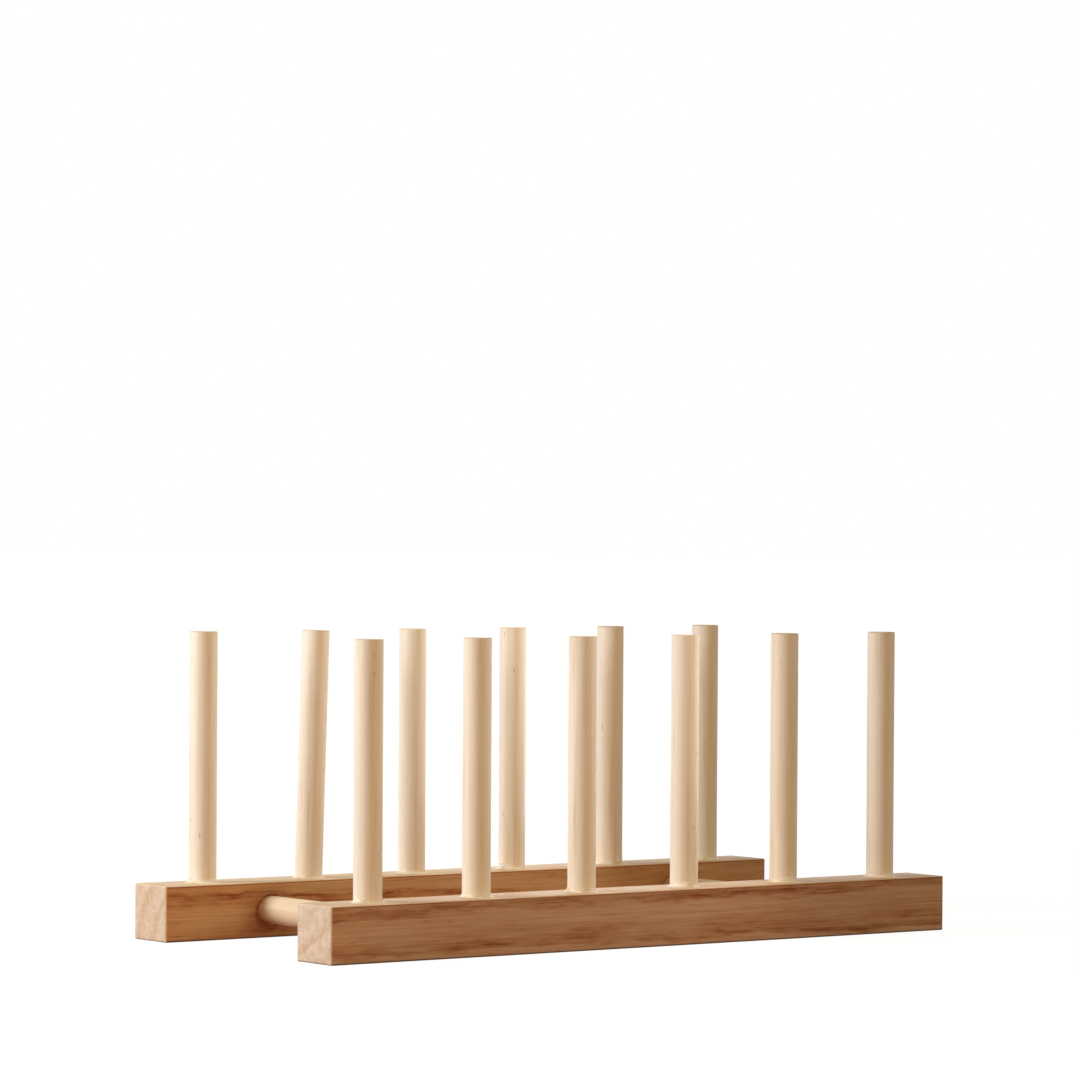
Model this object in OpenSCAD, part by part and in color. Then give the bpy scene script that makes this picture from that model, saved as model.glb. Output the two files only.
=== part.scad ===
// Worktop dish rack: parallel square rails, joined by cross dowels, carry facing rows of uprights.
// The origin is on the ground under the middle of the rack. +X runs along the rails, +Y towards
// the rear rail and +Z up. Sizes are in millimetres.

/* [Rails] */
// Height of each rail
rail_height = 20; // [17:0.5:30]
// Width of each rail from front to back
rail_width = 21; // [17:0.5:32]
// Clear distance between the front rail and the rear rail
rail_gap = 84; // [50:1:140]
// Distance from the end of a rail to the axis of its outermost upright
end_margin = 22; // [12:0.5:40]
// Radius of the eased edges of the rails
rail_edge_radius = 0.8; // [0.3:0.1:2]

/* [Uprights] */
// Uprights on each rail
uprights_per_rail = 6; // [3:1:12]
// Distance between the axes of neighbouring uprights
upright_pitch = 45.6; // [30:0.1:70]
// Diameter of the uprights
upright_diameter = 10; // [6:0.5:14]
// Height of the uprights above their rail
upright_height = 90; // [50:1:160]
// Depth of an upright's seat in its rail
upright_seat_depth = 14; // [8:0.5:17]
// Radius of the rounded edge at the top of an upright
upright_tip_radius = 0.4; // [0.2:0.1:2]
// Lean of the second rear upright towards the right end, in degrees, as its seat was drilled
second_rear_lean = 1.7; // [-3:0.1:3]

/* [Cross dowels] */
// Diameter of the cross dowels
cross_dowel_diameter = 10; // [6:0.5:14]
// Depth of a cross dowel's seat in each rail
cross_seat_depth = 14; // [8:0.5:18]

/* [Joints] */
// Glue space around a dowel in its seat
seat_clearance = 0.05; // [0.02:0.01:0.2]
// Chamfer on every end of a dowel that goes into a seat
dowel_chamfer = 1; // [0.4:0.1:2]
// Width of the broken edge at the mouth of a seat
mouth_chamfer = 0.5; // [0.1:0.1:1]
// Diameter of the drill's centre point at the floor of a seat
drill_point_diameter = 3; // [1:0.5:5]
// Depth of the drill's centre point below the floor of a seat
drill_point_depth = 1.2; // [0.5:0.1:2]

/* [Hidden] */
$fn = 64;

// Colours of the bare timber
rail_colour = "#a3714a";
dowel_colour = "#ecd3ad";

// Overall sizes that follow from the ones above
rail_length = 2 * end_margin + (uprights_per_rail - 1) * upright_pitch;
rail_centre_y = (rail_gap + rail_width) / 2;
upright_length = upright_seat_depth + upright_height;
cross_dowel_length = rail_gap + 2 * cross_seat_depth;

// A cross dowel lies at half the rail's height, midway between the outer two uprights
cross_dowel_x = rail_length / 2 - end_margin - upright_pitch / 2;
cross_dowel_z = rail_height / 2;

// Length by which a cutter sticks out of the face that it cuts
overcut = 1;

FRONT = -1;
REAR = 1;
LEFT = -1;
RIGHT = 1;
RAILS = [["front", FRONT], ["rear", REAR]];
ENDS = [["left", LEFT], ["right", RIGHT]];

function rail_name(side) = str(side, "_rail");
function upright_name(side, i) = str(side, "_upright_", i);
function cross_dowel_name(end) = str(end, "_cross_dowel");

// Place of upright number i along its rail, counted from the left, and its lean about its seat's mouth
function upright_x(i) = (i - (uprights_per_rail + 1) / 2) * upright_pitch;
function upright_lean(side, i) = side == REAR && i == 2 ? second_rear_lean : 0;

// Rectangle about the origin with true arcs at its corners
module rounded_rectangle(size, radius) {
    square([size.x - 2 * radius, size.y], center = true);
    square([size.x, size.y - 2 * radius], center = true);
    for (x = [-1, 1], y = [-1, 1])
        translate([x * (size.x / 2 - radius), y * (size.y / 2 - radius)])
            circle(r = radius);
}

// Bar about the origin, sawn square and then eased along all twelve edges
module eased_bar(size, radius) {
    intersection() {
        linear_extrude(size.z, center = true)
            rounded_rectangle([size.x, size.y], radius);
        rotate([90, 0, 0])
            linear_extrude(size.y, center = true)
                rounded_rectangle([size.x, size.z], radius);
        rotate([90, 0, 90])
            linear_extrude(size.x, center = true)
                rounded_rectangle([size.y, size.z], radius);
    }
}

// Cutter for a blind seat that goes down from the origin: its broken edge, bore and drill point
module seat_cutter(diameter, depth) {
    bore_radius = diameter / 2 + seat_clearance;
    rotate_extrude()
        polygon([
            [0, overcut],
            [bore_radius + mouth_chamfer + overcut, overcut],
            [bore_radius, -mouth_chamfer],
            [bore_radius, -depth],
            [drill_point_diameter / 2, -depth],
            [0, -depth - drill_point_depth]
        ]);
}

// Dowel that stands on the origin: its foot is chamfered and its top edge rounded
module upright_dowel() {
    radius = upright_diameter / 2;
    shoulder_z = upright_length - upright_tip_radius;
    rotate_extrude() {
        polygon([
            [0, 0],
            [radius - dowel_chamfer, 0],
            [radius, dowel_chamfer],
            [radius, shoulder_z],
            [0, shoulder_z]
        ]);
        square([radius - upright_tip_radius, upright_length]);
        translate([radius - upright_tip_radius, shoulder_z])
            circle(r = upright_tip_radius);
    }
}

// Dowel about the origin along Z, chamfered at both ends
module cross_dowel_blank() {
    radius = cross_dowel_diameter / 2;
    end_z = cross_dowel_length / 2;
    rotate_extrude()
        polygon([
            [0, -end_z],
            [radius - dowel_chamfer, -end_z],
            [radius, dowel_chamfer - end_z],
            [radius, end_z - dowel_chamfer],
            [radius - dowel_chamfer, end_z],
            [0, end_z]
        ]);
}

// Rail with its seats: side is FRONT or REAR, and the cross dowels enter its inner face
module rail(side) {
    color(rail_colour)
        difference() {
            translate([0, side * rail_centre_y, rail_height / 2])
                eased_bar([rail_length, rail_width, rail_height], rail_edge_radius);
            for (i = [1 : uprights_per_rail])
                translate([upright_x(i), side * rail_centre_y, rail_height])
                    rotate([0, upright_lean(side, i), 0])
                        seat_cutter(upright_diameter, upright_seat_depth);
            for (end = [LEFT, RIGHT])
                translate([end * cross_dowel_x, side * rail_gap / 2, cross_dowel_z])
                    rotate([side * 90, 0, 0])
                        seat_cutter(cross_dowel_diameter, cross_seat_depth);
        }
}

// Upright number i of a rail, standing on the floor of its seat
module upright(side, i) {
    color(dowel_colour)
        translate([upright_x(i), side * rail_centre_y, rail_height])
            rotate([0, upright_lean(side, i), 0])
                translate([0, 0, -upright_seat_depth])
                    upright_dowel();
}

// Cross dowel that reaches the floors of its seats and so sets the distance between the rails
module cross_dowel(end) {
    color(dowel_colour)
        translate([end * cross_dowel_x, 0, cross_dowel_z])
            rotate([90, 0, 0])
                cross_dowel_blank();
}

for (rail = RAILS)
    rail(rail[1]);

for (rail = RAILS, i = [1 : uprights_per_rail])
    upright(rail[1], i);

for (end = ENDS)
    cross_dowel(end[1]);
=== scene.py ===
"""Looks of the worktop dish rack: reddish rails and pale dowels, in soft light on a white sweep."""

import math
import random

import bmesh
import bpy
from mathutils import Euler, Matrix, Vector


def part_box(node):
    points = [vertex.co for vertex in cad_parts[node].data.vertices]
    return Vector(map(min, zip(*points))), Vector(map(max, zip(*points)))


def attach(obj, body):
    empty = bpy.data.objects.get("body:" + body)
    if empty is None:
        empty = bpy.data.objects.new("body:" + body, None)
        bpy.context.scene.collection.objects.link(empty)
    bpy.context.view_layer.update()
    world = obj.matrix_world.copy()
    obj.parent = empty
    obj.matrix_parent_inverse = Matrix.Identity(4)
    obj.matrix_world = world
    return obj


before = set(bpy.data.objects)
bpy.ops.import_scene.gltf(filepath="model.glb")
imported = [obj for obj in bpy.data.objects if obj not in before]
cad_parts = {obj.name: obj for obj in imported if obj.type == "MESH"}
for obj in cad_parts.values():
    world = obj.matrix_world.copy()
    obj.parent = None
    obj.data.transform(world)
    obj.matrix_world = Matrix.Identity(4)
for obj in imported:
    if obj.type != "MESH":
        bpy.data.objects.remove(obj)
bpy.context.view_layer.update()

MILLIMETRE = 0.001


def from_srgb(red, green, blue):
    """The scene's linear colour for a colour given as 0 to 255."""
    def linear(value):
        share = value / 255
        return share / 12.92 if share <= 0.04045 else ((share + 0.055) / 1.055) ** 2.4
    return linear(red), linear(green), linear(blue), 1.0


def shader_node(tree, kind, inputs=None, **settings):
    """A node with its settings and inputs; an input that is given a socket is linked to it."""
    made = tree.nodes.new("ShaderNode" + kind)
    for name, value in settings.items():
        setattr(made, name, value)
    for name, value in (inputs or {}).items():
        if isinstance(value, bpy.types.NodeSocket):
            tree.links.new(value, made.inputs[name])
        else:
            made.inputs[name].default_value = value
    return made


def maths(tree, operation, *values, clamp=False):
    """The result of one sum on numbers or sockets."""
    inputs = dict(enumerate(values))
    return shader_node(tree, "Math", inputs, operation=operation, use_clamp=clamp).outputs[0]


def vector_maths(tree, operation, *values):
    """The result of one sum on vectors."""
    made = shader_node(tree, "VectorMath", dict(enumerate(values)), operation=operation)
    return made.outputs["Value" if operation in ("LENGTH", "DOT_PRODUCT") else "Vector"]


def scaled(tree, vector, factor):
    """A vector times a number."""
    inputs = {"Vector": vector, "Scale": factor}
    return shader_node(tree, "VectorMath", inputs, operation="SCALE").outputs["Vector"]


def split(tree, vector):
    """The X, Y and Z of a vector."""
    return shader_node(tree, "SeparateXYZ", {"Vector": vector}).outputs


def smooth_step(tree, value, low, high, out_low=0.0, out_high=1.0):
    """A value eased from out_low at low to out_high at high, and held outside."""
    inputs = {
        "Value": value,
        "From Min": low,
        "From Max": high,
        "To Min": out_low,
        "To Max": out_high,
    }
    made = shader_node(tree, "MapRange", inputs, interpolation_type="SMOOTHSTEP")
    return made.outputs["Result"]


def weakened(tree, mask, share):
    """A mask that takes away no more than that share of what it is multiplied with."""
    return maths(tree, "MULTIPLY_ADD", mask, share, 1.0 - share)


def mix_colour(tree, factor, first, second, blend="MIX"):
    """Two colours mixed by a factor. A mixing node keeps its colours in inputs 6 and 7."""
    inputs = {0: factor, 6: first, 7: second}
    return shader_node(tree, "Mix", inputs, data_type="RGBA", blend_type=blend).outputs[2]


def painted(tree, colour, mask, strength, paint):
    """A colour under paint, which covers it by the mask times the strength."""
    return mix_colour(tree, maths(tree, "MULTIPLY", mask, strength), colour, paint)


def grain_noise(tree, vector, across, along, detail, roughness=0.5, distortion=0.0, finer=None):
    """Noise with so many features per millimetre across the grain and along it."""
    place = vector_maths(tree, "MULTIPLY", vector, (across, across, along))
    if finer is not None:
        place = scaled(tree, place, finer)
    inputs = {
        "Vector": place,
        "Scale": 1.0,
        "Detail": detail,
        "Roughness": roughness,
        "Distortion": distortion,
    }
    return shader_node(tree, "TexNoise", inputs).outputs


def new_group(name, vectors, numbers, results):
    """An empty shader group with such inputs and numbers as results: its tree and its sockets."""
    tree = bpy.data.node_groups.new(name, "ShaderNodeTree")
    for label in vectors:
        tree.interface.new_socket(name=label, in_out="INPUT", socket_type="NodeSocketVector")
    for label in numbers:
        tree.interface.new_socket(name=label, in_out="INPUT", socket_type="NodeSocketFloat")
    for label in results:
        tree.interface.new_socket(name=label, in_out="OUTPUT", socket_type="NodeSocketFloat")
    given = tree.nodes.new("NodeGroupInput")
    result = tree.nodes.new("NodeGroupOutput")
    return tree, given.outputs, result.inputs


def new_material(name):
    """A material whose tree is empty, and that tree."""
    material = bpy.data.materials.new(name)
    material.use_nodes = True
    material.node_tree.nodes.clear()
    return material, material.node_tree


def new_mesh(name, shape):
    """A mesh of a finished shape, which is let go."""
    data = bpy.data.meshes.new(name)
    shape.to_mesh(data)
    shape.free()
    return data


def new_object(name, data):
    """An object in the scene."""
    made = bpy.data.objects.new(name, data)
    bpy.context.scene.collection.objects.link(made)
    return made


# Growth rings: how far a seed moves the noises, in millimetres, and the noises that push the pith
# about, in the large and in the small
RING_SEED_STEP = (17.3, 9.1, 31.7)
DRIFT = dict(across=0.035, along=0.011, detail=2.0)
RIPPLE = dict(across=0.30, along=0.08, detail=4.0)
NOISE_MIDDLE = (0.5, 0.5, 0.5)
ACROSS_GRAIN = (1.0, 1.0, 0.0)

# How the rings' widths change, by a noise with so many features per millimetre from the pith
WIDTH_CHANGES = 0.11
WIDTH_DETAIL = 1.0

# Darkness of the timber through one year: at its turn, then at shares of the year
TURN_DARKNESS = 0.45
YEAR_DARKNESS = ((0.10, 0.0), (0.55, 0.22), (0.84, 0.92), (0.93, 1.0))


def growth_rings():
    """Rings about a leaning, wandering pith: the vector is in millimetres, with the grain on Z."""
    tree, given, result = new_group(
        "growth_rings",
        ["Vector", "Pith", "Slope"],
        ["Seed", "Ring Width", "Wander", "Ripple", "Uneven", "Phase"],
        ["Ring", "Year"],
    )
    place = given["Vector"]
    seeded = vector_maths(tree, "ADD", place, scaled(tree, RING_SEED_STEP, given["Seed"]))
    out = vector_maths(tree, "SUBTRACT", place, given["Pith"])
    lean = scaled(tree, given["Slope"], split(tree, place)["Z"])
    out = vector_maths(tree, "SUBTRACT", out, lean)
    for noise, reach in ((DRIFT, given["Wander"]), (RIPPLE, given["Ripple"])):
        push = grain_noise(tree, seeded, **noise)["Color"]
        push = vector_maths(tree, "SUBTRACT", push, NOISE_MIDDLE)
        out = vector_maths(tree, "ADD", out, scaled(tree, push, reach))
    radius = vector_maths(tree, "LENGTH", vector_maths(tree, "MULTIPLY", out, ACROSS_GRAIN))

    inputs = {
        "W": maths(tree, "MULTIPLY", radius, WIDTH_CHANGES),
        "Scale": 1.0,
        "Detail": WIDTH_DETAIL,
    }
    width = shader_node(tree, "TexNoise", inputs, noise_dimensions="1D").outputs["Fac"]
    years = maths(tree, "DIVIDE", radius, given["Ring Width"])
    years = maths(tree, "MULTIPLY_ADD", width, given["Uneven"], years)
    years = maths(tree, "ADD", years, given["Phase"])

    late = shader_node(tree, "ValToRGB", {"Fac": maths(tree, "FRACT", years)})
    ramp = late.color_ramp
    ramp.interpolation = "B_SPLINE"
    for turn in ramp.elements:
        turn.color = (TURN_DARKNESS,) * 3 + (1.0,)
    for share, darkness in YEAR_DARKNESS:
        ramp.elements.new(share).color = (darkness,) * 3 + (1.0,)
    tree.links.new(late.outputs["Color"], result["Ring"])

    whole = {"W": maths(tree, "FLOOR", years)}
    chance = shader_node(tree, "TexWhiteNoise", whole, noise_dimensions="1D")
    tree.links.new(chance.outputs["Value"], result["Year"])
    return tree


# Fibre: how far a seed moves the marks, in millimetres, the noise of each mark that runs in
# stripes, and the range over which the mark comes up
FIBRE_SEED_STEP = (23.9, 41.3, 13.1)
STRIPES = {
    "Streak": dict(across=1.5, along=0.035, detail=5.0, roughness=0.62, distortion=0.25),
    "Band": dict(across=0.23, along=0.012, detail=3.0, roughness=0.55, distortion=0.4),
    "Stroke": dict(across=0.85, along=0.026, detail=3.0, roughness=0.6, distortion=0.5),
    "Dash": dict(across=0.45, along=0.08, detail=4.0, roughness=0.6, distortion=0.4),
    "Patch": dict(across=0.07, along=0.022, detail=2.0),
    "Mottle": dict(across=0.42, along=0.42, detail=4.0, roughness=0.7),
}
STRIPE_RANGES = {
    "Streak": (0.30, 0.70),
    "Band": (0.34, 0.66),
    "Stroke": (0.53, 0.70),
    "Dash": (0.38, 0.66),
    "Patch": (0.38, 0.62),
    "Mottle": (0.30, 0.70),
}

# Spots in some of the cells of a lattice: the cells per millimetre across and along the grain, the
# share of a spot's radius that is solid, and the colour that picks the cells, with its range
SPOTS = {
    "Pore": dict(across=1.25, along=0.13, solid=0.35, channel="Red", low=0.35, high=0.75),
    "Fleck": dict(across=0.30, along=0.085, solid=0.3, channel="Green", low=0.55, high=0.8),
}


def spots(tree, vector, size, across, along, solid, channel, low, high):
    """Soft spots of a size, stretched along the grain, in the cells whose colour is in range."""
    place = vector_maths(tree, "MULTIPLY", vector, (across, across, along))
    inputs = {"Vector": place, "Scale": 1.0, "Randomness": 1.0}
    cells = shader_node(tree, "TexVoronoi", inputs).outputs
    core = maths(tree, "MULTIPLY", size, solid)
    spot = smooth_step(tree, cells["Distance"], core, size, 1.0, 0.0)
    chance = shader_node(tree, "SeparateColor", {"Color": cells["Color"]}).outputs[channel]
    return maths(tree, "MULTIPLY", spot, smooth_step(tree, chance, low, high))


def wood_fibre():
    """Stripes along the grain, short open pores and rare dark flecks, on the same vector."""
    tree, given, result = new_group(
        "wood_fibre",
        ["Vector"],
        ["Seed", "Streak Scale", "Pore Size", "Fleck Size"],
        [*STRIPES, *SPOTS],
    )
    shift = scaled(tree, FIBRE_SEED_STEP, given["Seed"])
    seeded = vector_maths(tree, "ADD", given["Vector"], shift)
    for label, noise in STRIPES.items():
        finer = given["Streak Scale"] if label == "Streak" else None
        stripe = grain_noise(tree, seeded, **noise, finer=finer)["Fac"]
        tree.links.new(smooth_step(tree, stripe, *STRIPE_RANGES[label]), result[label])
    for label, cells in SPOTS.items():
        tree.links.new(spots(tree, seeded, given[label + " Size"], **cells), result[label])
    return tree


# Ranges over which one part of a piece's surface turns into the next. A bar's flat faces go by the
# largest part of the normal, a dowel's ends by how far the normal lies along the grain, and the
# rest by how far it points up.
FLAT_FACE = (0.90, 0.985)
DOWEL_EDGE_START = (0.10, 0.40)
DOWEL_EDGE_STOP = (0.88, 0.97)
END_FACE = (0.50, 0.80)
TOP_FACE = (0.60, 0.95)
NOT_FACING_DOWN = (-0.40, -0.10)
FOOT_EDGE = (-0.55, -0.15)
SHOULDER_START = (0.06, 0.20)
SHOULDER_STOP = (0.50, 0.72)


def surface_parts():
    """Masks of a piece's edges, its ends, its top, what does not face down, its foot and its
    shoulders.
    """
    tree, given, result = new_group(
        "surface_parts",
        ["Normal", "Grain"],
        [],
        ["Bar Edge", "Round Edge", "End", "Top", "Not Facing Down", "Foot", "Shoulder"],
    )
    normal = given["Normal"]
    sides = split(tree, vector_maths(tree, "ABSOLUTE", normal))
    largest = maths(tree, "MAXIMUM", sides["X"], sides["Y"])
    largest = maths(tree, "MAXIMUM", largest, sides["Z"])
    tree.links.new(smooth_step(tree, largest, *FLAT_FACE, 1.0, 0.0), result["Bar Edge"])

    facing = vector_maths(tree, "DOT_PRODUCT", normal, given["Grain"])
    facing = maths(tree, "ABSOLUTE", facing)
    start = smooth_step(tree, facing, *DOWEL_EDGE_START)
    stop = smooth_step(tree, facing, *DOWEL_EDGE_STOP, 1.0, 0.0)
    tree.links.new(maths(tree, "MULTIPLY", start, stop), result["Round Edge"])
    tree.links.new(smooth_step(tree, facing, *END_FACE), result["End"])

    upward = split(tree, normal)["Z"]
    tree.links.new(smooth_step(tree, upward, *TOP_FACE), result["Top"])
    tree.links.new(smooth_step(tree, upward, *NOT_FACING_DOWN), result["Not Facing Down"])
    tree.links.new(smooth_step(tree, upward, *FOOT_EDGE, 1.0, 0.0), result["Foot"])
    start = smooth_step(tree, upward, *SHOULDER_START)
    stop = smooth_step(tree, upward, *SHOULDER_STOP, 1.0, 0.0)
    tree.links.new(maths(tree, "MULTIPLY", start, stop), result["Shoulder"])
    return tree


RINGS = growth_rings()
FIBRE = wood_fibre()
PARTS = surface_parts()

# Turns that lay the grain, local Z, along each of the frame's axes
GRAIN_ALONG = {
    "X": Euler((0.0, math.pi / 2, 0.0)),
    "Y": Euler((-math.pi / 2, 0.0, 0.0)),
    "Z": Euler((0.0, 0.0, 0.0)),
}

# How much the rings' darkness changes from year to year, and how the pale edges (painted highlight,
# partly wear) change along them
YEAR_CHANGE = 0.5
EDGE_WEAR_AND_HIGHLIGHT_CHANGE = 0.6

# Share of the dark timber in the painted shade right under a top edge
UNDER_EDGE_SHADE_DEPTH = 0.75

# Reddened patches
RED_TINT = (1.0, 0.88, 0.78, 1.0)

# Painted shade round the seats of the cross dowels, a little low and outwards, in place of the
# dowels' shadow on the rails:
# a dark rim and a wide, uneven patch, by their distance in metres
SEAT_SHADE_SHIFT = Vector((0.0008, 0.0, -0.0012))
SEAT_SHADE_START = 0.0048
SEAT_SHADE_RIM = 0.0070
SEAT_SHADE_END = 0.0155
SEAT_SHADE_RIM_DEPTH = 0.80
SEAT_SHADE_DEPTH = 0.65
SEAT_SHADE_MOTTLE = 0.4
SEAT_SHADE_LEAST = 0.7
SEAT_SHADE_TINT = (0.52, 0.36, 0.24, 1.0)

# End grain: how much the rings, the mottle and the pores show in it
END_RINGS = 0.5
END_MOTTLE = 0.6
END_PORES = 0.8

# How rough the streaks and the end grain are, and how far each mark lies below the surface
STREAK_ROUGHNESS = 0.10
END_ROUGHNESS = 0.12
STREAK_RELIEF = -0.5
PORE_RELIEF = -1.2
RING_RELIEF = -0.4
BUMP_STRENGTH = 0.5
TIMBER_IOR = 1.5
SHEEN_ROUGHNESS = 0.4


def grown_colour(tree, look, ring, fibre):
    """The timber's own colour, from light to dark with its rings, bands, streaks and strokes."""
    patch = weakened(tree, fibre["Patch"], look["patchy"])
    rings = maths(tree, "MULTIPLY", maths(tree, "MULTIPLY", ring, patch), look["ring_strength"])
    rings = maths(tree, "MULTIPLY", rings, weakened(tree, fibre["Dash"], look["ring_broken"]))
    bands = maths(tree, "MULTIPLY", fibre["Band"], look["band_strength"])
    streaks = maths(tree, "MULTIPLY", fibre["Streak"], look["streak_strength"])
    strokes = maths(tree, "MULTIPLY", fibre["Stroke"], patch)
    strokes = maths(tree, "MULTIPLY", strokes, look["stroke_strength"])
    depth = maths(tree, "ADD", maths(tree, "ADD", rings, bands), streaks)
    depth = maths(tree, "ADD", depth, strokes, clamp=True)
    grown = shader_node(tree, "ValToRGB", {"Fac": depth})
    light, dark = grown.color_ramp.elements
    light.color = look["light"]
    dark.color = look["dark"]
    grown.color_ramp.elements.new(0.5).color = look["middle"]
    return grown.outputs["Color"]


def painted_seat_shade(tree, colour, place, mottle, seat):
    """Painted shade round a seat's mouth on the +X side, and round its mirror image, where the
    cross dowel shades the rail.
    """
    sides = split(tree, place)
    folded = {"X": maths(tree, "ABSOLUTE", sides["X"]), "Y": sides["Y"], "Z": sides["Z"]}
    folded = shader_node(tree, "CombineXYZ", folded).outputs["Vector"]
    away = vector_maths(tree, "SUBTRACT", folded, seat + SEAT_SHADE_SHIFT)
    away = vector_maths(tree, "LENGTH", away)
    rim = smooth_step(tree, away, SEAT_SHADE_START, SEAT_SHADE_RIM, SEAT_SHADE_RIM_DEPTH, 0.0)
    wide = smooth_step(tree, away, SEAT_SHADE_START, SEAT_SHADE_END, SEAT_SHADE_DEPTH, 0.0)
    uneven = maths(tree, "MULTIPLY_ADD", mottle, SEAT_SHADE_MOTTLE, SEAT_SHADE_LEAST)
    seat_shade = maths(tree, "MULTIPLY", maths(tree, "ADD", rim, wide), uneven, clamp=True)
    return mix_colour(tree, seat_shade, colour, SEAT_SHADE_TINT, "MULTIPLY")


def timber_with_painted_light(tree, look, colour, parts, mottle):
    """Timber with a painted highlight on its top and its edges (the edges partly wear), and painted
    shade right under a top edge and along its foot.
    """
    # Painted highlight: the tops are mixed towards a pale colour
    colour = painted(tree, colour, parts["Top"], look["top_strength"], look["painted_top_highlight"])
    painted_under_edge_shade = maths(tree, "MULTIPLY", parts["Shoulder"], look["under_edge_shade_strength"])
    # Paler edges that do not face down: painted highlight, partly edge wear
    edge_wear_and_highlight = maths(tree, "MULTIPLY", parts[look["edge"]], look["edge_strength"])
    edge_wear_and_highlight = maths(tree, "MULTIPLY", edge_wear_and_highlight, weakened(tree, mottle, EDGE_WEAR_AND_HIGHLIGHT_CHANGE))
    edge_wear_and_highlight = maths(tree, "MULTIPLY", edge_wear_and_highlight, parts["Not Facing Down"])
    edge_wear_and_highlight = maths(tree, "MULTIPLY", edge_wear_and_highlight, maths(tree, "SUBTRACT", 1.0, painted_under_edge_shade))
    colour = mix_colour(tree, edge_wear_and_highlight, colour, look["edge_wear_and_highlight"])
    # Painted shade in the line right under a top edge
    colour = painted(tree, colour, painted_under_edge_shade, UNDER_EDGE_SHADE_DEPTH, look["dark"])
    # Painted shade along the down-facing bottom edges
    return painted(tree, colour, parts["Foot"], look["foot_strength"], look["foot"])


def with_end_grain(tree, look, colour, end, ring, mottle, pore):
    """Timber whose ends show the rings and pores cut across."""
    figure = maths(tree, "MULTIPLY", mottle, END_MOTTLE)
    figure = maths(tree, "MULTIPLY_ADD", ring, END_RINGS, figure)
    grain = mix_colour(tree, figure, look["end_light"], look["end_dark"])
    grain = painted(tree, grain, pore, END_PORES, look["end_pore"])
    return painted(tree, colour, end, look["end_strength"], grain)


def wood(name, look, cut, centre, axis, seat=None):
    """Bare timber of one piece: look has its colours and strengths, cut its place in the tree.

    The grain runs through the centre along the axis. Round a given seat, painted shade darkens the
    timber.
    """
    material, tree = new_material(name)
    place = shader_node(tree, "TexCoord").outputs
    turn = GRAIN_ALONG[axis]
    inputs = {
        "Vector": place["Object"],
        "Location": centre,
        "Rotation": turn,
        "Scale": (MILLIMETRE,) * 3,
    }
    local = shader_node(tree, "Mapping", inputs, vector_type="TEXTURE").outputs["Vector"]
    inputs = {
        "Vector": local,
        "Pith": (*cut["pith"], 0.0),
        "Slope": (*cut["slope"], 0.0),
        "Seed": cut["seed"],
        "Ring Width": look["ring_width"],
        "Wander": look["wander"],
        "Ripple": look["ripple"],
        "Uneven": look["uneven"],
        "Phase": cut["phase"],
    }
    rings = shader_node(tree, "Group", inputs, node_tree=RINGS).outputs
    inputs = {
        "Vector": local,
        "Seed": cut["seed"],
        "Streak Scale": look["streak_scale"],
        "Pore Size": look["pore_size"],
        "Fleck Size": look["fleck_size"],
    }
    fibre = shader_node(tree, "Group", inputs, node_tree=FIBRE).outputs
    inputs = {"Normal": place["Normal"], "Grain": turn.to_matrix() @ Vector((0.0, 0.0, 1.0))}
    parts = shader_node(tree, "Group", inputs, node_tree=PARTS).outputs

    ring = maths(tree, "MULTIPLY", rings["Ring"], weakened(tree, rings["Year"], YEAR_CHANGE))
    pore = maths(tree, "MULTIPLY", fibre["Pore"], look["pore_strength"])
    colour = grown_colour(tree, look, ring, fibre)
    colour = mix_colour(tree, pore, colour, look["pore"])
    colour = painted(tree, colour, fibre["Fleck"], look["fleck_strength"], look["fleck"])
    red = maths(tree, "MULTIPLY", fibre["Patch"], look["red_strength"])
    colour = mix_colour(tree, red, colour, RED_TINT, "MULTIPLY")
    # Painted shade round the seats of the cross dowels
    if seat is not None:
        colour = painted_seat_shade(tree, colour, place["Object"], fibre["Mottle"], seat)
    # Painted highlight on tops and edges, partly edge wear, and painted shade under top edges and
    # along the foot
    colour = timber_with_painted_light(tree, look, colour, parts, fibre["Mottle"])
    colour = with_end_grain(tree, look, colour, parts["End"], ring, fibre["Mottle"], pore)

    rough = maths(tree, "MULTIPLY_ADD", fibre["Streak"], STREAK_ROUGHNESS, look["roughness"])
    rough = maths(tree, "MULTIPLY_ADD", parts["End"], END_ROUGHNESS, rough)
    height = maths(tree, "MULTIPLY", fibre["Streak"], STREAK_RELIEF)
    height = maths(tree, "MULTIPLY_ADD", fibre["Pore"], PORE_RELIEF, height)
    height = maths(tree, "MULTIPLY_ADD", ring, RING_RELIEF, height)
    inputs = {
        "Height": height,
        "Strength": BUMP_STRENGTH,
        "Distance": look["relief"] * MILLIMETRE,
    }
    bump = shader_node(tree, "Bump", inputs)
    inputs = {
        "Base Color": colour,
        "Roughness": rough,
        "Normal": bump.outputs["Normal"],
        "IOR": TIMBER_IOR,
        "Specular IOR Level": look["specular"],
        "Sheen Weight": look["sheen"],
        "Sheen Roughness": SHEEN_ROUGHNESS,
        "Sheen Tint": look["sheen_tint"],
    }
    surface = shader_node(tree, "BsdfPrincipled", inputs)
    shader_node(tree, "OutputMaterial", {"Surface": surface.outputs["BSDF"]})
    return material


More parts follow.
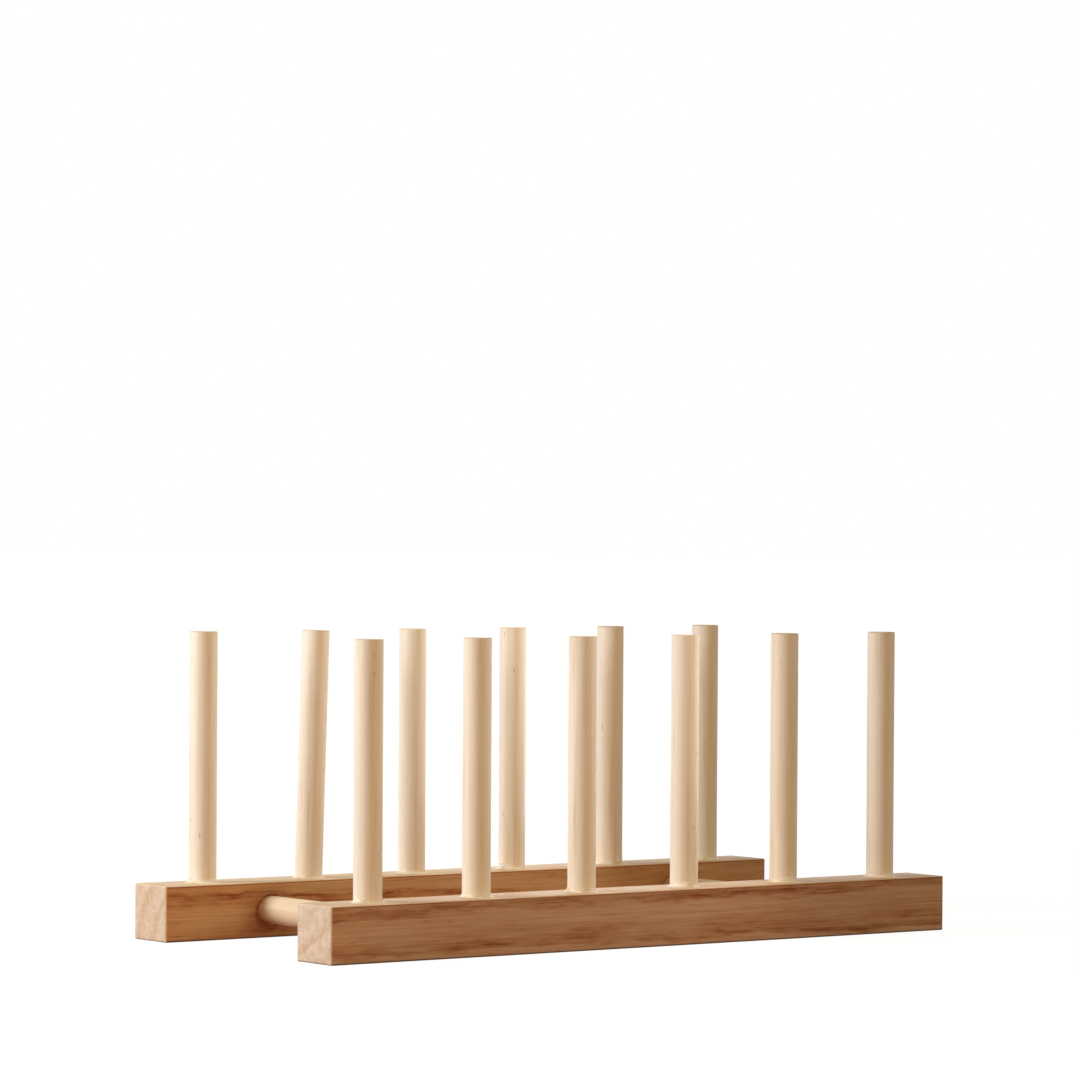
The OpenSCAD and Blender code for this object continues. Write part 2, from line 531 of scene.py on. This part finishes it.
# A timber's look: its colours, how strongly each mark shows in it, its rings in millimetres, its
# spots as shares of a cell, and its surface
RAIL_LOOK = {
    "light": from_srgb(220, 177, 131),
    "middle": from_srgb(198, 143, 92),
    "dark": from_srgb(148, 78, 34),
    "pore": from_srgb(112, 62, 32),
    "fleck": from_srgb(100, 54, 28),
    "red_strength": 0.55,
    "end_light": from_srgb(232, 206, 178),
    "end_dark": from_srgb(206, 166, 126),
    "end_pore": from_srgb(158, 120, 84),
    "end_strength": 0.92,
    "edge": "Bar Edge",
    # Paler eased edges: painted highlight, partly edge wear
    "edge_wear_and_highlight": from_srgb(240, 200, 152),
    # Paler tops: painted highlight
    "painted_top_highlight": from_srgb(236, 202, 154),
    "top_strength": 0.60,
    "edge_strength": 0.95,
    # Darker bottom edges: painted shade
    "foot": from_srgb(84, 48, 26),
    "foot_strength": 0.85,
    # Darker line under each top edge: painted shade
    "under_edge_shade_strength": 1.0,
    "ring_width": 9.0,
    "ring_broken": 0.55,
    "wander": 8.0,
    "ripple": 4.0,
    "uneven": 0.3,
    "patchy": 0.3,
    "ring_strength": 0.90,
    "band_strength": 0.12,
    "streak_strength": 0.32,
    "streak_scale": 1.0,
    "stroke_strength": 0.18,
    "pore_size": 0.20,
    "pore_strength": 0.50,
    "fleck_size": 0.20,
    "fleck_strength": 0.4,
    "roughness": 0.38,
    "relief": 0.10,
    "specular": 0.12,
    "sheen": 0.12,
    "sheen_tint": (1.0, 0.94, 0.86, 1.0),
}

# The front rail is cut from timber with less red in it and fainter rings
FRONT_RAIL_LOOK = {
    **RAIL_LOOK,
    "light": from_srgb(216, 179, 150),
    "middle": from_srgb(190, 141, 102),
    "dark": from_srgb(141, 77, 38),
    # A darker painted highlight on the top
    "painted_top_highlight": from_srgb(220, 176, 126),
    "end_light": from_srgb(236, 212, 185),
    "end_dark": from_srgb(210, 171, 132),
    "red_strength": 0.5,
    "ring_strength": 0.78,
}

# The uprights have no painted highlight on top and no painted shade along the foot, so the rails'
# colours for these stay unused
DOWEL_LOOK = {
    **RAIL_LOOK,
    "light": from_srgb(250, 233, 210),
    "middle": from_srgb(245, 223, 194),
    "dark": from_srgb(218, 180, 132),
    "pore": from_srgb(204, 166, 120),
    "fleck": from_srgb(166, 122, 80),
    "red_strength": 0.0,
    "end_light": from_srgb(230, 200, 160),
    "end_dark": from_srgb(202, 166, 122),
    "end_pore": from_srgb(166, 126, 86),
    "end_strength": 0.9,
    "edge": "Round Edge",
    # Paler tip edges: painted highlight, partly edge wear
    "edge_wear_and_highlight": from_srgb(248, 232, 208),
    "top_strength": 0.0,
    "edge_strength": 0.10,
    "foot_strength": 0.0,
    # Darker line under the tip's edge: painted shade
    "under_edge_shade_strength": 0.8,
    "ring_width": 1.5,
    "ring_broken": 0.0,
    "wander": 3.0,
    "ripple": 0.5,
    "uneven": 2.4,
    "patchy": 0.75,
    "ring_strength": 0.28,
    "band_strength": 0.28,
    "streak_strength": 0.34,
    "streak_scale": 0.6,
    "stroke_strength": 0.22,
    "pore_size": 0.15,
    "pore_strength": 0.30,
    "fleck_size": 0.12,
    "fleck_strength": 0.5,
    "roughness": 0.42,
    "relief": 0.06,
    "specular": 0.25,
    "sheen": 0.10,
    "sheen_tint": (1.0, 0.97, 0.92, 1.0),
}

# The cross dowels come from warmer, darker stock
CROSS_LOOK = {
    **DOWEL_LOOK,
    "light": from_srgb(240, 212, 176),
    "middle": from_srgb(233, 199, 158),
    "dark": from_srgb(203, 156, 106),
    "under_edge_shade_strength": 0.0,
    "specular": 0.08,
    "sheen": 0.0,
}

# How each rail was cut: where its tree's pith runs beside its middle, in millimetres, the pith's
# slope, the place in the tree, and where in the year the rings start
FRONT_CUT = {"pith": (-30.0, 20.0), "slope": (0.004, 0.002), "seed": 12.0, "phase": -1.52}
REAR_CUT = {"pith": (24.0, -36.0), "slope": (0.03, 0.004), "seed": 2.0, "phase": -1.42}

# How the dowels were cut: their seeds, the pith's distance, which grows by steps and starts again,
# the turn about it from one dowel to the next, and its slope
FIRST_DOWEL_SEED = 3.0
PITH_NEAREST = 12.0
PITH_STEP = 4.0
PITH_STEPS = 5
GOLDEN_ANGLE = 2.399963
DOWEL_SLOPE = 0.012
SLOPE_TURN_X = 1.7
SLOPE_TURN_Y = 2.3


def dowel_cut(seed):
    """How the dowel with this seed was cut from its tree."""
    reach = PITH_NEAREST + PITH_STEP * (seed % PITH_STEPS)
    angle = seed * GOLDEN_ANGLE
    slope_x = DOWEL_SLOPE * math.sin(seed * SLOPE_TURN_X)
    slope_y = DOWEL_SLOPE * math.cos(seed * SLOPE_TURN_Y)
    return {
        "pith": (reach * math.cos(angle), reach * math.sin(angle)),
        "slope": (slope_x, slope_y),
        "seed": seed,
        "phase": 0.0,
    }


def middle_of(node):
    """The centre of a CAD node."""
    low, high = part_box(node)
    return (low + high) / 2


def finish_node(node, look, cut, axis, seat=None):
    """Gives a CAD node its own cut of timber."""
    material = wood(node + "_wood", look, cut, middle_of(node), axis, seat)
    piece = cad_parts[node]
    for slot in piece.material_slots:
        slot.material = material
    if not piece.material_slots:
        piece.data.materials.append(material)


def finish_pieces():
    """Each rail and dowel is cut from another place in the tree."""
    seat = middle_of("right_cross_dowel")
    front_seat = Vector((seat.x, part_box("front_rail")[1].y, seat.z))
    rear_seat = Vector((seat.x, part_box("rear_rail")[0].y, seat.z))
    finish_node("front_rail", FRONT_RAIL_LOOK, FRONT_CUT, "X", front_seat)
    finish_node("rear_rail", RAIL_LOOK, REAR_CUT, "X", rear_seat)
    dowels = sorted(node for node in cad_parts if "upright" in node or "dowel" in node)
    for number, node in enumerate(dowels):
        look, axis = (CROSS_LOOK, "Y") if "cross" in node else (DOWEL_LOOK, "Z")
        finish_node(node, look, dowel_cut(FIRST_DOWEL_SEED + number), axis)


# Dried glue round the feet of the uprights, in metres: how far it reaches out and up, how uneven it
# is and in how many lobes, how deep it lies in the wood, how finely it is divided, and its finish
GLUE_REACH = 0.0012
GLUE_RISE = 0.0014
GLUE_UNEVEN = 0.5
GLUE_LOBES = (1, 2, 3)
GLUE_SINK = 0.0002
GLUE_STEPS = 48
GLUE_PARTS = 6
GLUE_SEED = 7
GLUE_STAINS_PER_METRE = 260.0
GLUE_STAIN_DETAIL = 2.0
GLUE_STAIN_RANGE = (0.40, 0.72)
GLUE_PALE = from_srgb(242, 219, 188)
GLUE_BROWN = from_srgb(218, 176, 132)
GLUE_ROUGHNESS = 0.4
GLUE_IOR = 1.45


def glue_finish():
    """Dried wood glue: pale, a little glossy, browned where it soaked into the timber."""
    material, tree = new_material("dried_glue")
    place = shader_node(tree, "TexCoord").outputs["Object"]
    place = vector_maths(tree, "MULTIPLY", place, (GLUE_STAINS_PER_METRE,) * 3)
    inputs = {"Vector": place, "Scale": 1.0, "Detail": GLUE_STAIN_DETAIL}
    stains = shader_node(tree, "TexNoise", inputs).outputs["Fac"]
    stains = smooth_step(tree, stains, *GLUE_STAIN_RANGE)
    inputs = {
        "Base Color": mix_colour(tree, stains, GLUE_PALE, GLUE_BROWN),
        "Roughness": GLUE_ROUGHNESS,
        "IOR": GLUE_IOR,
    }
    surface = shader_node(tree, "BsdfPrincipled", inputs)
    shader_node(tree, "OutputMaterial", {"Surface": surface.outputs["BSDF"]})
    return material


def glue_bead(name, centre, radius, chance, material):
    """A hollow fillet of glue round an upright's foot: a spun profile that swells and thins."""
    inside = radius - GLUE_SINK
    profile = [(inside, -GLUE_SINK), (inside, GLUE_RISE)]
    for part in range(GLUE_PARTS + 1):
        turn = math.pi / 2 * part / GLUE_PARTS
        out = radius + GLUE_REACH * (1 - math.cos(turn))
        profile.append((out, GLUE_RISE * (1 - math.sin(turn))))
    profile.append((radius + GLUE_REACH, -GLUE_SINK))
    shape = bmesh.new()
    corners = [shape.verts.new((out, 0.0, up)) for out, up in profile]
    edges = [shape.edges.new((corners[i - 1], corners[i])) for i in range(len(corners))]
    bmesh.ops.spin(
        shape, geom=corners + edges, cent=(0.0, 0.0, 0.0), axis=(0.0, 0.0, 1.0),
        dvec=(0.0, 0.0, 0.0), angle=2 * math.pi, space=Matrix(), steps=GLUE_STEPS, use_merge=True,
        use_normal_flip=False, use_duplicate=False,
    )
    lobes = [(count, chance.uniform(0.0, 2 * math.pi)) for count in GLUE_LOBES]
    for corner in shape.verts:
        angle = math.atan2(corner.co.y, corner.co.x)
        swell = sum(math.sin(count * angle + start) for count, start in lobes) / len(lobes)
        growth = 1.0 + GLUE_UNEVEN * swell
        out = inside + (corner.co.xy.length - inside) * growth
        up = corner.co.z * (growth if corner.co.z > 0 else 1.0)
        corner.co = Vector((out * math.cos(angle), out * math.sin(angle), up))
    bmesh.ops.translate(shape, verts=shape.verts, vec=centre, space=Matrix())
    bmesh.ops.recalc_face_normals(shape, faces=shape.faces)
    data = new_mesh(name, shape)
    data.shade_smooth()
    data.materials.append(material)
    piece = new_object(name, data)
    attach(piece, "root")


def make_glue():
    """A bead where each upright enters its rail. The rows match, and the front one has no lean."""
    material = glue_finish()
    chance = random.Random(GLUE_SEED)
    uprights = sorted(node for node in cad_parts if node.startswith("front_upright_"))
    for side in ("front", "rear"):
        rail_low, rail_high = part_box(side + "_rail")
        for node in uprights:
            low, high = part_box(node)
            middle = ((low.x + high.x) / 2, (rail_low.y + rail_high.y) / 2, rail_high.z)
            name = node.replace("front", side) + "_glue"
            glue_bead(name, Vector(middle), (high.x - low.x) / 2, chance, material)


# The view: where the camera stands and how it is turned, in the frame's metres and radians
CAMERA_PLACE = Vector((-1.10544, -1.50443, 0.15995))
CAMERA_YAW = 0.63221
CAMERA_PITCH = 0.00894
CAMERA_ROLL = 0.00625
FOCAL_PIXELS = 5142.6
PICTURE_PIXELS = 1080
SENSOR_MM = 36.0
CLIP_START = 0.05
CLIP_END = 60.0


def make_camera():
    """The camera at the measured place, with the measured turn and lens."""
    lens = bpy.data.cameras.new("camera")
    lens.sensor_fit = "HORIZONTAL"
    lens.sensor_width = SENSOR_MM
    lens.lens = FOCAL_PIXELS / PICTURE_PIXELS * SENSOR_MM
    lens.clip_start = CLIP_START
    lens.clip_end = CLIP_END
    camera = new_object("camera", lens)
    yaw, pitch, roll = CAMERA_YAW, CAMERA_PITCH, CAMERA_ROLL
    ahead = Vector((
        math.sin(yaw) * math.cos(pitch),
        math.cos(yaw) * math.cos(pitch),
        -math.sin(pitch),
    ))
    right = Vector((math.cos(yaw), -math.sin(yaw), 0.0))
    up = right.cross(ahead)
    right_turned = right * math.cos(roll) + up * math.sin(roll)
    up_turned = up * math.cos(roll) - right * math.sin(roll)
    camera.matrix_world = Matrix((right_turned, up_turned, -ahead)).transposed().to_4x4()
    camera.location = CAMERA_PLACE
    bpy.context.scene.camera = camera


# Studio light, in metres and watts: a key from the left, a little behind the rack, a warm fill from
# the right, a small card over the rack, a rim light from the right end and a front light
RACK_MIDDLE = Vector((0.0, 0.0, 0.05))
LAMPS = {
    "key": {
        "place": RACK_MIDDLE + Vector((-0.93, 0.35, 0.42)).normalized() * 0.80,
        "aim": RACK_MIDDLE,
        "size": 0.30,
        "watts": 6.22,
        "colour": (0.704, 0.866, 1.0),
    },
    "fill": {
        "place": RACK_MIDDLE + Vector((0.58, -0.78, 0.45)).normalized() * 2.0,
        "aim": RACK_MIDDLE,
        "size": 1.1,
        "watts": 5.65,
        "colour": (0.89, 1.0, 0.605),
    },
    "card": {
        "place": Vector((0.02, 0.0, 0.16)),
        "aim": Vector((-0.20, 0.0, 0.08)),
        "size": 0.26,
        "watts": 0.18,
        "colour": (0.92, 0.96, 1.0),
    },
    "rim": {
        "place": Vector((0.85, -0.17, 0.20)),
        "aim": RACK_MIDDLE,
        "size": 0.40,
        "watts": 0.52,
        "colour": (0.60, 0.62, 1.0),
    },
    "front": {
        "place": Vector((-0.42, -0.60, 0.28)),
        "aim": Vector((-0.08, -0.05, 0.05)),
        "size": 0.40,
        "watts": 1.13,
        "colour": (1.0, 0.89, 0.67),
    },
}

# Dim warm sky, with its strength at the horizon and overhead
SKY_LOW = 0.146
SKY_HIGH = 0.222
SKY_COLOUR = (1.0, 0.73, 0.44, 1.0)
WHITE = (1.0, 1.0, 1.0, 1.0)


def make_lamp(name, place, aim, size, watts, colour):
    """A square soft light that looks at a point and isn't seen itself."""
    light = bpy.data.lights.new(name, "AREA")
    light.size = size
    light.energy = watts
    light.color = colour
    lamp = new_object(name, light)
    lamp.location = place
    lamp.rotation_euler = (place - aim).to_track_quat("Z", "Y").to_euler()
    lamp.visible_camera = False


def seen_share(tree):
    """1 on rays by which the camera sees a thing, also mirrored or through glass, 0 on others."""
    rays = shader_node(tree, "LightPath").outputs
    seen = maths(tree, "MAXIMUM", rays["Is Camera Ray"], rays["Is Glossy Ray"])
    return maths(tree, "MAXIMUM", seen, rays["Is Transmission Ray"])


def make_lights():
    """The lamps, and the world's dim warm sky, which is white where it is seen."""
    for name, lamp in LAMPS.items():
        make_lamp(name, **lamp)
    world = bpy.data.worlds.new("studio")
    bpy.context.scene.world = world
    world.use_nodes = True
    tree = world.node_tree
    tree.nodes.clear()
    height = split(tree, shader_node(tree, "TexCoord").outputs["Generated"])["Z"]
    strength = smooth_step(tree, height, 0.0, 1.0, SKY_LOW, SKY_HIGH)
    sky = shader_node(tree, "Background", {"Color": SKY_COLOUR, "Strength": strength})
    white = shader_node(tree, "Background", {"Color": WHITE, "Strength": 1.0})
    inputs = {0: seen_share(tree), 1: sky.outputs[0], 2: white.outputs[0]}
    both = shader_node(tree, "MixShader", inputs)
    shader_node(tree, "OutputWorld", {"Surface": both.outputs[0]})


# Floor: white to the camera, with room left for the shadow of the rack, and a warm tint in what it
# throws back. Its glow grows with the distance from the rack's middle, in metres.
FLOOR_RADIUS = 12.0
FLOOR_SIDES = 96
FLOOR_TINT = (0.42, 0.14, 0.06, 1.0)
SHADOW_DEPTH = 0.20
GLOW_NEAR = 0.93
GLOW_FAR = 1.0
GLOW_START = 0.20
GLOW_END = 0.80


def floor_finish():
    """Paper that the camera sees as white, apart from the shadow, with its warm bounced light."""
    material, tree = new_material("floor_paper")
    place = shader_node(tree, "TexCoord").outputs["Object"]
    reach = vector_maths(tree, "LENGTH", place)
    glow = smooth_step(tree, reach, GLOW_START, GLOW_END, GLOW_NEAR, GLOW_FAR)
    shaded = shader_node(tree, "BsdfDiffuse", {"Color": (SHADOW_DEPTH,) * 3 + (1.0,)})
    light = shader_node(tree, "Emission", {"Strength": glow})
    paper = shader_node(tree, "AddShader", {0: shaded.outputs[0], 1: light.outputs[0]})
    bounce = shader_node(tree, "BsdfDiffuse", {"Color": FLOOR_TINT})
    inputs = {0: seen_share(tree), 1: bounce.outputs[0], 2: paper.outputs[0]}
    both = shader_node(tree, "MixShader", inputs)
    shader_node(tree, "OutputMaterial", {"Surface": both.outputs[0]})
    return material


def make_floor():
    """A wide round floor at the foot of the rack."""
    shape = bmesh.new()
    bmesh.ops.create_circle(
        shape, cap_ends=True, cap_tris=False, segments=FLOOR_SIDES, radius=FLOOR_RADIUS,
        matrix=Matrix(), calc_uvs=False,
    )
    data = new_mesh("floor", shape)
    floor = new_object("floor", data)
    data.materials.append(floor_finish())


bpy.context.scene.view_settings.view_transform = "Standard"
make_camera()
make_lights()
make_floor()
finish_pieces()
make_glue()
